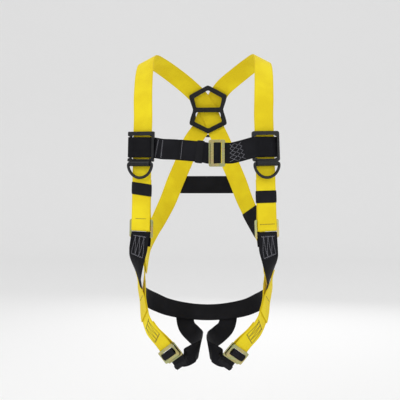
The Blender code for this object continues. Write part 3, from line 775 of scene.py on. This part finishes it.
def place_on(rows, along, distance):
    """The point, side and normal at a distance along a path."""
    i = min(max(bisect.bisect_right(along, distance) - 1, 0), len(rows) - 2)
    f = (distance - along[i]) / (along[i + 1] - along[i])
    return [rows[i][k].lerp(rows[i + 1][k], f) for k in range(3)]


def wander(point):
    """How far the cloth lies off its ideal surface here. Plies that touch share it, so they stay apart."""
    return noise.noise(point * 19.0) * SAG + noise.noise(point * 55.0) * SAG * 0.35


class Webbing:
    """One finished strap, and the places on it that stitches need."""

    def __init__(self, path):
        self.rows = frames_along(spline(path, FINE))
        self.along = distances(self.rows)
        self.length = self.along[-1]

    def at(self, along, across, lift):
        """The point this far along and across, lift above the middle, on the wandering surface."""
        point, side, normal = place_on(self.rows, self.along, min(max(along, 0.0), self.length))
        point = point + side * across
        return point + normal.normalized() * (lift + wander(point))

    def nearest(self, point, low=0.0, high=1e9):
        """How far along the strap it passes closest to a point."""
        inside = [i for i, a in enumerate(self.along) if low <= a <= high]
        return self.along[min(inside, key=lambda i: (self.rows[i][0] - point).length)]

    def build(self, name, look, body, node, slot):
        verts, faces, weave, edge = [], [], [], []
        base = web_section()
        count = len(base)
        around = round_trip(base)
        for point, side, normal, factor in self.rows:
            for across, lift in base:
                middle = point + side * (across * factor)
                verts.append(middle + normal * (lift + wander(middle)))
        ends = [2 * across / WEB_W for across, _ in base]
        rim = [(e, 0) for quad in band(ends, ends) for e in quad]
        rings = numbered(len(self.rows), count)
        for near, far, low, high in zip(rings, rings[1:], self.along, self.along[1:]):
            faces += band(near, far)
            edge += rim
            for a, b in zip(around, around[1:]):
                weave += [(a, low), (b, low), (b, high), (a, high)]
        for ring, along in ((rings[0], 0.0), (rings[-1][::-1], self.length)):
            faces.append(ring)
            weave += [(base[i % count][0], along + base[i % count][1]) for i in ring]
            edge += [(1.0, 0)] * count
        mesh = woven_mesh(name, verts, faces, weave=weave, edge=edge)
        return add_piece(name, mesh, look, body, (node,), SMOOTH)


# One stitch from end to end: how far along, how high above the cloth, how thick
STITCH_SHAPE = (
    (0.0, -0.55, 0.55), (0.12, 0.15, 0.9), (0.35, 0.5, 1.0), (0.65, 0.5, 1.0), (0.88, 0.15, 0.9),
    (1.0, -0.55, 0.55),
)


def stitches(name, look, body, runs):
    """Sew each run, (webbing, [(along, across), ...], lift sign), as separate stitches in one piece."""
    verts, faces = [], []
    sides = THREAD_SIDES
    for web, corners, sign in runs:
        for start, stop in zip(corners, corners[1:]):
            span = dist(start, stop)
            count = max(1, round(span / STITCH))
            for n in range(count):
                f0, f1 = (n + 0.06) / count, (n + 0.94) / count
                ends = [tuple(a + (b - a) * f for a, b in zip(start, stop)) for f in (f0, f1)]
                direction = (web.at(*ends[1], 0) - web.at(*ends[0], 0)).normalized()
                for f, rise, swell in STITCH_SHAPE:
                    along, across = (a + (b - a) * f for a, b in zip(*ends))
                    surface = web.at(along, across, sign * (FINE_T + rise * THREAD))
                    normal = (surface - web.at(along, across, 0)).normalized()
                    flat = direction.cross(normal).normalized()
                    for k in range(sides):
                        angle = 2 * pi * k / sides
                        spread = flat * cos(angle) + normal * sin(angle)
                        verts.append(surface + spread * (THREAD * swell))
    for first in range(0, len(verts), len(STITCH_SHAPE) * sides):
        rings = [[first + i for i in ring] for ring in numbered(len(STITCH_SHAPE), sides)]
        faces += [rings[0][::-1], rings[-1]]
        for near, far in zip(rings, rings[1:]):
            faces += band(near, far)
    mesh = bpy.data.meshes.new(name)
    mesh.from_pydata(verts, [], faces)
    return add_piece(name, mesh, look, body, smooth_angle=60)


def line_across(web, along, half, sign=1):
    return [(web, [(along, -half), (along, half)], sign)]


def zigzag_across(web, along, half, swing, teeth):
    """A zigzag row across the strap."""
    points = [(along + swing * (1 if k % 2 else -1), half * (2 * k / teeth - 1)) for k in range(teeth + 1)]
    return [(web, points, 1)]


def w_box(web, low, high, half, legs):
    """Long legs back and forth along the strap, closed by a toothed row at each end."""
    runs = [(web, [(low if k % 2 else high, half * (2 * k / legs - 1)) for k in range(legs + 1)], 1)]
    for along in (low, high):
        runs += zigzag_across(web, along, half, 1.6 * MM, legs * 2)
    return runs


# ---------------- webbing and thread

def finish_webbing():
    """Every strap, in its finished form, and a table of them by node."""
    paths = {
        "back_strap": (back_path(), BLACK),
        "seat_strap": (seat_path(), BLACK),
        "chest_strap_right": (chest_right_path(), BLACK),
        "chest_strap_left": (chest_left_path(), BLACK),
    }
    for side, label in SIDES:
        leg = leg_path(side)
        paths["shoulder_strap_" + label] = (shoulder_path(side), YELLOW)
        paths["leg_strap_" + label] = (leg + sewn_return(leg, leg_buckle_frame(side), 6), YELLOW)
        paths["leg_strap_outer_ply_" + label] = (outer_ply_path(side), YELLOW)
        paths["hip_connector_" + label] = (hip_connector_path(side), BLACK)
        paths["thigh_strap_" + label] = (thigh_path(side), BLACK)
    made = {}
    for node, (path, look) in paths.items():
        made[node] = Webbing(path)
        body = "chest_yoke" if node.startswith("chest") else "root"
        slot = "yellow_webbing" if look is YELLOW else "black_webbing"
        made[node].build("webbing_" + node, look, body, node, slot)
    return made


def finish_stitching(webs):
    half = WEB_W / 2
    for side, label in SIDES:
        front = front_frame(side)
        buckle = leg_buckle_frame(side)
        leg = webs["leg_strap_" + label]
        bar = leg.nearest(buckle @ Vector((17 * MM, FEMALE_OUT, 0)), 0, leg.length - 75 * MM)
        runs = w_box(leg, bar - 64 * MM, bar - 21 * MM, half * 0.72, 6)
        runs += w_box(leg, 6 * MM, 40 * MM, half * 0.74, 7)
        runs += line_across(webs["leg_strap_outer_ply_" + label], 66 * MM, half * 0.7)
        shoulder = webs["shoulder_strap_" + label]
        stop = shoulder.nearest(front @ Vector((0, 0, -0.392 if side < 0 else -0.4025)), 100 * MM)
        runs += line_across(shoulder, stop, half * (0.56 if side < 0 else 0.78))
        stitches("stitching_yellow_" + label, BROWN_THREAD, "root", runs)

        hip = webs["hip_connector_" + label]
        top = hip.nearest(front @ Vector((0, 0, -0.432)), 25 * MM)
        runs = w_box(hip, top, top + 44 * MM, half * 0.70, 6)
        thigh = webs["thigh_strap_" + label]
        runs += w_box(thigh, 5 * MM, 36 * MM, half * 0.72, 7)
        runs += line_across(thigh, thigh.length - 5 * MM, half * 0.86, -1)
        stitches("stitching_black_" + label, GREY_THREAD, "root", runs)

    back = webs["back_strap"]
    runs = w_box(back, 4 * MM, 34 * MM, half * 0.72, 7)
    runs += w_box(back, back.length - 34 * MM, back.length - 4 * MM, half * 0.72, 7)
    stitches("stitching_back", GREY_THREAD, "root", runs)

    right = webs["chest_strap_right"]
    left = webs["chest_strap_left"]
    runs = []
    for x in (-104.5, -92.5):
        along = right.nearest(Vector((x * MM, -0.139, -0.236)), right.length * 0.30, right.length * 0.62)
        runs += zigzag_across(right, along, half * 0.86, 1.5 * MM, 15)
    runs += line_across(right, right.length - 4 * MM, half * 0.86, -1)
    for k in range(4):
        x = 62.5 + 8.4 * k
        along = left.nearest(Vector((x * MM, -0.150, -0.243)), left.length * 0.4)
        swing = 3.6 * MM * (1 if k % 2 else -1)
        runs += zigzag_across(left, along, half * 0.84, swing, 8)
    stitches("stitching_chest", GREY_THREAD, "chest_yoke", runs)


# ---------------- elastic keepers and sleeves

def finish_sleeve(name, rows, reach, wall, node, body, seam=None):
    """An elastic loop round a strap, open from low to high (reach, in mm), with a lapped seam."""
    bands = ((0.0, 0.45), (0.12, 0.9), (0.3, 1.0), (0.7, 1.0), (0.88, 0.9), (1.0, 0.45))
    verts, faces, weave = [], [], []
    low, high = reach[0] * MM, reach[1] * MM
    middle, half = (low + high) / 2, (high - low) / 2
    outer = stadium(LOOP_W / 2, half, wall * MM, LOOP_SIDES)
    hollow = stadium(LOOP_W / 2, half, 0.0, LOOP_SIDES)
    rings = []
    along = distances(rows)
    total = along[-1]
    lanes = [(outer, s, f) for f, s in bands] + [(hollow, 1.0, 1.0 - f) for f, _ in bands[::3]]
    for shape, swell, f in lanes:
        point, side, normal = place_on(rows, along, f * total)
        ring = []
        for i, (a, b) in enumerate(shape):
            if shape is outer:
                ha, hb = hollow[i]
                a, b = ha + (a - ha) * swell, hb + (b - hb) * swell
                if seam is not None and b > 0 and abs(a - seam) < SEAM_HALF:
                    b += 0.9 * MM * swell
            ring.append(len(verts))
            verts.append(point + side * a + normal * (middle + b))
        rings.append((ring, f * total))
    lengths = round_trip(outer)
    for (near, a0), (far, a1) in zip(rings, rings[1:] + rings[:1]):
        faces += band(near, far)
        for b0, b1 in zip(lengths, lengths[1:]):
            weave += [(a0, b0), (a0, b1), (a1, b1), (a1, b0)]
    mesh = woven_mesh(name, verts, faces, weave=weave)
    return add_piece(name, mesh, ELASTIC, body, (node,), 60)


def stadium(half, reach, wall, turns):
    """Points (across, lift) round a flat slot half wide and reach high, grown by wall, with round ends."""
    radius = reach + wall
    centre = half - reach
    points = []
    for sign, start in ((1, 90), (-1, -90)):
        points += arc(sign * centre, 0, radius, start, start - 180, turns)
        for k in range(1, 16):
            points.append((sign * (centre - 2 * centre * k / 16), -sign * radius))
    return points


def finish_keepers():
    for side, label in SIDES:
        front = front_frame(side)
        out = outward(front)
        ends = [(front @ Vector((0, 0, KEEPER_Z[side] + dz)), out, 1.0) for dz in (-KEEPER_HALF, KEEPER_HALF)]
        rows = frames_along(ends)
        if side < 0:
            slant = (rows[1][0] - rows[0][0]).normalized() * KEEPER_SLANT
            rows = [(point, (across - slant).normalized(), *rest) for point, across, *rest in rows]
        node = "strap_keeper_" + label
        seam = 15 * MM if side > 0 else None
        finish_sleeve("keeper_strap_" + label, rows, (-4.1, 1.5), 1.4, node, node, seam)
        place = leg_buckle_frame(side)
        normal = place.to_3x3() @ Vector((-0.09, -1, 0)).normalized()
        ends = [(place @ Vector((x, y, 0)), normal, 1.0) for x, y in mm([(-38.5, -8.7), (-29.5, -9.5)])]
        finish_sleeve("keeper_leg_" + label, frames_along(ends), (-1.5, 1.5), 1.3, "leg_keeper_" + label,
                      "root")
    hip = [row for row in frames_along(shoulder_path(-1)) if row[0].y > 0 and -0.432 < row[0].z < -0.372]
    finish_sleeve("sleeve_label", hip, (-1.5, 1.5), 1.2, "label_sleeve", "root")
    ends = [(Vector(row) * MM, Vector((0, -1, 0)), 1.0)
            for row in ((-14.5, -136.1, -244.1), (1.5, -136.1, -246.1))]
    finish_sleeve("keeper_chest", frames_along(ends), (-2.8, 2.8), 1.9, "chest_keeper", "chest_keeper")


# ---------------- hardware

def rounded_rect(cx, cy, width, height, radius, segments=8):
    """An outline from sizes in millimetres."""
    points = []
    for sx, sy, start in ((1, 1, 0), (-1, 1, 90), (-1, -1, 180), (1, -1, 270)):
        x, y = cx + sx * (width / 2 - radius), cy + sy * (height / 2 - radius)
        points += arc(x, y, radius, start, start + 90, segments)
    return mm(points)


def rounded_outline(points, radius, segments=6):
    """An outline from millimetres, each corner cut with an arc-like curve that starts radius before it."""
    result = []
    for i, corner in enumerate(points):
        corner = Vector(corner)
        before = Vector(points[i - 1])
        after = Vector(points[(i + 1) % len(points)])
        a = corner + (before - corner).normalized() * radius
        b = corner + (after - corner).normalized() * radius
        for k in range(segments + 1):
            f = k / segments
            result.append(a.lerp(corner, f).lerp(corner.lerp(b, f), f))
    return mm(result)


def plate(outline, holes, thick, place, rim):
    """A plate with holes, given as (x, z) in a frame, its rims rounded by rim."""
    bm = bmesh.new()
    edges = []
    for loop in [outline] + holes:
        verts = [bm.verts.new(Vector((x, -thick / 2, z))) for x, z in loop]
        for i in range(len(verts)):
            edges.append(bm.edges.new((verts[i - 1], verts[i])))
    filled = bmesh.ops.triangle_fill(bm, use_beauty=True, edges=edges)
    faces = [g for g in filled["geom"] if isinstance(g, bmesh.types.BMFace)]
    grown = bmesh.ops.extrude_face_region(bm, geom=faces, use_keep_orig=True)
    verts = [g for g in grown["geom"] if isinstance(g, bmesh.types.BMVert)]
    bmesh.ops.translate(bm, vec=Vector((0, thick, 0)), verts=verts)
    bmesh.ops.recalc_face_normals(bm, faces=bm.faces)
    sharp = [e for e in bm.edges if len(e.link_faces) == 2 and e.calc_face_angle() > radians(60)]
    bmesh.ops.bevel(bm, geom=sharp, offset=rim, segments=4, profile=0.5, affect="EDGES", clamp_overlap=True)
    bmesh.ops.transform(bm, matrix=place, verts=bm.verts)
    bmesh.ops.recalc_face_normals(bm, faces=bm.faces)
    return bm


def add_moulded(name, mesh, look, body, node):
    """A hard piece whose large flat faces set the shading, so that only the rounded rims turn."""
    piece = add_piece(name, mesh, look, body, (node,), SMOOTH)
    made = piece.modifiers.new("weighted", "WEIGHTED_NORMAL")
    made.keep_sharp = True
    made.weight = 100


def add_zinc_plate(name, outline, holes, place, body, node):
    """A pressed steel plate with small round rims."""
    mesh = to_mesh(name + "_mesh", plate(outline, holes, ZINC_T, place, 1.0 * MM))
    add_moulded(name, mesh, ZINC, body, node)


def to_mesh(name, *parts):
    mesh = bpy.data.meshes.new(name)
    whole = bmesh.new()
    for bm in parts:
        bm.to_mesh(mesh)
        bm.free()
        whole.from_mesh(mesh)
    whole.to_mesh(mesh)
    whole.free()
    return mesh


def join_rings(bm, rings):
    """Join closed rings of points, the last to the first, into one closed skin."""
    for near, far in zip(rings, rings[1:] + rings[:1]):
        for quad in band(near, far):
            bm.faces.new(quad)
    bmesh.ops.recalc_face_normals(bm, faces=bm.faces)
    return bm


def lathe(profile, place, sides=40):
    """Turn a closed (x, radius) profile round the frame's X axis."""
    bm = bmesh.new()
    rings = []
    for k in range(sides):
        angle = 2 * pi * k / sides
        y, z = cos(angle), sin(angle)
        rings.append([bm.verts.new(place @ Vector((x, r * y, r * z))) for x, r in profile])
    return join_rings(bm, rings)


def rod(points, radius, sides=20):
    """A closed loop of round rod, smoothed through its points."""
    bm = bmesh.new()
    count = len(points)
    fine = []
    for i in range(count):
        near = [points[(i + k) % count] for k in (-1, 0, 1, 2)]
        knots = knots_through(*near)
        steps = max(2, ceil((near[2] - near[1]).length / (2 * MM)))
        for k in range(steps):
            fine.append(catmull(knots, knots[1] + (knots[2] - knots[1]) * k / steps, *near))
    centre = sum(fine, Vector()) / len(fine)
    plane = (fine[0] - centre).cross(fine[len(fine) // 3] - centre).normalized()
    rings = []
    for i, point in enumerate(fine):
        tangent = (fine[(i + 1) % len(fine)] - fine[i - 1]).normalized()
        u = tangent.cross(plane).normalized()
        v = u.cross(tangent).normalized()
        angles = [2 * pi * k / sides for k in range(sides)]
        rings.append([bm.verts.new(point + (u * cos(a) + v * sin(a)) * radius) for a in angles])
    return join_rings(bm, rings)


def chest_window(side):
    """The window: as wide as the wrapped bars allow beside the chest strap, narrower above and below it."""
    outer = -26 if side > 0 else -23.6
    points = [(26, -23.8), (26, 23.8), (21.8, 24.2), (21.8, 26.2), (-21.8, 26.2), (-21.8, 24.2),
              (outer, 23.8), (outer, -23.8), (-21.8, -24.2), (-21.8, -26.2), (21.8, -26.2), (21.8, -24.2)]
    return rounded_outline(points, 0.4, 2)


def chest_outline(side):
    """The plate's outline. The right one is notched outside, so that the strap round its bar stays flush."""
    if side > 0:
        return rounded_rect(0, 1.4, 63, 66.2, 5, 6)
    points = [(31.5, 34.5), (-31.5, 34.5), (-31.5, 25), (-26.6, 23.8), (-26.6, -23.8), (-31.5, -25),
              (-31.5, -31.7), (31.5, -31.7)]
    return rounded_outline(points, 2)


def finish_chest_frame(side, label):
    """The moulded frame, with a ribbed tube along its foot and a small lip at each corner."""
    place = moved(front_frame(side, FRAME_Z), FRAME_OUT)
    body = plate(chest_outline(side), [chest_window(side)], 5 * MM, place, 1.2 * MM)
    axis = moved(front_frame(side, FRAME_Z), RING_OUT, -RING_DROP)
    ends = [(24.5 * MM, RING_ROD + 0.5 * MM), (24.5 * MM, BARREL - 1 * MM), (24.1 * MM, BARREL - 0.3 * MM),
            (23.5 * MM, BARREL)]
    profile = [(-x, r) for x, r in ends] + [(x * MM, BARREL) for x in (-12, 0, 12)] + ends[::-1]
    tube = lathe(profile, axis)
    ridges = []
    for drop in (3.2, -2.4):
        rib = rounded_rect(0, 0, 46, 1.2, 0.5, 3)
        out = sqrt(BARREL ** 2 - (drop * MM) ** 2)
        ridges.append(plate(rib, [], 1.4 * MM, moved(axis, out, drop * MM), 0.3 * MM))
    mesh = to_mesh("chest_frame_body_" + label, body, tube, *ridges)
    add_moulded("frame_chest_" + label, mesh, PLASTIC, "chest_yoke", "chest_frame_" + label)


def finish_chest_ring(side, label):
    axis = moved(front_frame(side, FRAME_Z), RING_OUT, -RING_DROP)
    half = 28.9 * MM
    drop = 32.0 * MM
    points = [Vector((x * MM, 0, 0)) for x in (-25.0, -8, 8, 25.0)]
    points += [Vector((half - 1.0 * MM, 0, -1.7 * MM))]
    for k in range(13):
        angle = radians(-13 - 154 * k / 12)
        points.append(Vector((half * cos(angle), 0, drop * sin(angle))))
    points += [Vector((-half + 1.0 * MM, 0, -1.7 * MM))]
    mesh = to_mesh("ring_mesh_" + label, rod([axis @ p for p in points], RING_ROD))
    node = "chest_ring_" + label
    add_piece("ring_chest_" + label, mesh, COATED, node, (node,))


def finish_dorsal():
    pad = pad_frame()
    half = 37 * MM
    bar = PAD_BAR_OUT
    eye = 20.5 * MM
    flat = [(-30, 0, bar), (-10, 0, bar), (10, 0, bar), (30, 0, bar), (35.2, -0.6, bar + 1.6 * MM),
            (37, -3.6, bar + 5.5 * MM), (37, -9, eye - 2 * MM), (36, -17, eye)]
    points = [Vector((x * MM, out, up * MM)) for x, up, out in flat]
    for k in range(11):
        angle = radians(180 * k / 10)
        points.append(Vector(((half - 5 * MM) * cos(angle), eye, (-36 - 32 * sin(angle)) * MM)))
    points += [Vector((-x * MM, out, up * MM)) for x, up, out in flat[:3:-1]]
    mesh = to_mesh("dorsal_ring_mesh", rod([pad @ p for p in points], 3.5 * MM, 24))
    add_piece("ring_dorsal", mesh, COATED, "dorsal_ring", ("dorsal_ring",))

    right = [(0, 63), (49, 37), (46, 22), (38.5, 0), (46, -22), (49, -37)]
    left = [(-x, z) for x, z in right[:0:-1]]
    outline = rounded_outline(right + [(0, -61)] + left, 5)
    upper = [(0, 50), (36, 30), (31, 6), (-31, 6), (-36, 30)]
    lower = [(0, -48), (-36, -30), (-31, -6), (31, -6), (36, -30)]
    holes = [rounded_outline(hole, 4) for hole in (upper, lower)]
    mesh = to_mesh("dorsal_pad_mesh", plate(outline, holes, 4 * MM, pad, 1.2 * MM))
    add_moulded("pad_dorsal", mesh, PLASTIC, "root", "dorsal_pad")


def finish_adjuster(side, label):
    place = moved(front_frame(side, ADJUSTER_Z), -BAR_WRAP)
    outline = rounded_rect(0, 0, 56, 41, 4)
    windows = [rounded_rect(0, z, 47.5, high, 1.5, 4) for z, high in ((9, 12), (-6.4, 6.8))]
    add_zinc_plate("adjuster_" + label, outline, windows, place, "root", "torso_adjuster_" + label)


def finish_buckle(place, prefix, suffix, frame_body, tongue_body):
    """Rear frame with one large window, and the three-bar tongue in front of it."""
    outline = rounded_rect(-1.5, 0, 36, 58.5, 4)
    window = rounded_rect(-1.5, 0, 29, 47, 1, 4)
    node = prefix + "_buckle_frame" + suffix
    rear = moved(place, FEMALE_OUT)
    add_zinc_plate("buckle_rear_" + prefix + suffix, outline, [window], rear, frame_body, node)
    outline = rounded_rect(0, 0, 30.6, 57, 3.5)
    holes = [rounded_rect(x, 0, 4.5, 46.4, 1.2, 4) for x in (-6.3, 6.3)]
    node = prefix + "_buckle_tongue" + suffix
    add_zinc_plate("buckle_tongue_" + prefix + suffix, outline, holes, place, tongue_body, node)


def finish_hardware():
    for side, label in SIDES:
        finish_chest_frame(side, label)
        finish_chest_ring(side, label)
        finish_adjuster(side, label)
        finish_buckle(leg_buckle_frame(side), "leg", "_" + label, "root", "leg_tongue_" + label)
    finish_buckle(chest_buckle_frame(), "chest", "", "chest_yoke", "chest_tongue")
    finish_dorsal()


# ---------------- studio

def add_camera():
    camera = link("camera", bpy.data.cameras.new("camera"))
    camera.data.lens = LENS
    camera.data.sensor_width = SENSOR
    right = Vector((cos(VIEW_TURN), sin(VIEW_TURN), 0))
    forward = Vector((-sin(VIEW_TURN), cos(VIEW_TURN), 0))
    camera.location = right * VIEW_SHIFT - forward * VIEW_BACK + Vector((0, 0, VIEW_Z))
    camera.rotation_euler = (radians(90), 0, VIEW_TURN)
    bpy.context.scene.camera = camera


def add_light(name, place, size, power):
    light = bpy.data.lights.new(name, "AREA")
    light.shape = "RECTANGLE"
    light.size, light.size_y = size
    light.energy = power
    lamp = link(name, light)
    lamp.location = place
    aim = Vector((0, 0, VIEW_Z)) - Vector(place)
    lamp.rotation_euler = aim.to_track_quat("-Z", "Y").to_euler()


def add_floor():
    """A pale floor, well below the hanging harness, that curves up into a far wall."""
    level = CAD_BOX[0].z - FLOOR_DROP
    profile = [(FLOOR_FRONT, level), (WALL_Y, level)]
    profile += arc(WALL_Y, level + WALL_BEND, WALL_BEND, -90, 0, 16)[1:]
    profile.append((WALL_Y + WALL_BEND, level + WALL_HIGH))
    verts = [(x, y, z) for y, z in profile for x in (-FLOOR_HALF, FLOOR_HALF)]
    faces = [(2 * k, 2 * k + 1, 2 * k + 3, 2 * k + 2) for k in range(len(profile) - 1)]
    mesh = bpy.data.meshes.new("floor")
    mesh.from_pydata(verts, [], faces)
    mesh.shade_smooth()
    look = Shader("pale_floor").finish(Base_Color=(0.92, 0.92, 0.92), Roughness=0.9, Specular_IOR_Level=0.1)
    mesh.materials.append(look)
    floor = link("floor", mesh)


def add_studio():
    add_camera()
    add_floor()
    for light in LIGHTS:
        add_light(*light)
    world = bpy.data.worlds.new("studio")
    world.use_nodes = True
    backdrop = world.node_tree.nodes["Background"]
    backdrop.inputs["Color"].default_value = (1, 1, 1, 1)
    backdrop.inputs["Strength"].default_value = 0.8
    bpy.context.scene.world = world
    bpy.context.scene.view_settings.view_transform = "Standard"


# ---------------- the whole harness

add_studio()
finish_stitching(finish_webbing())
finish_keepers()
finish_hardware()
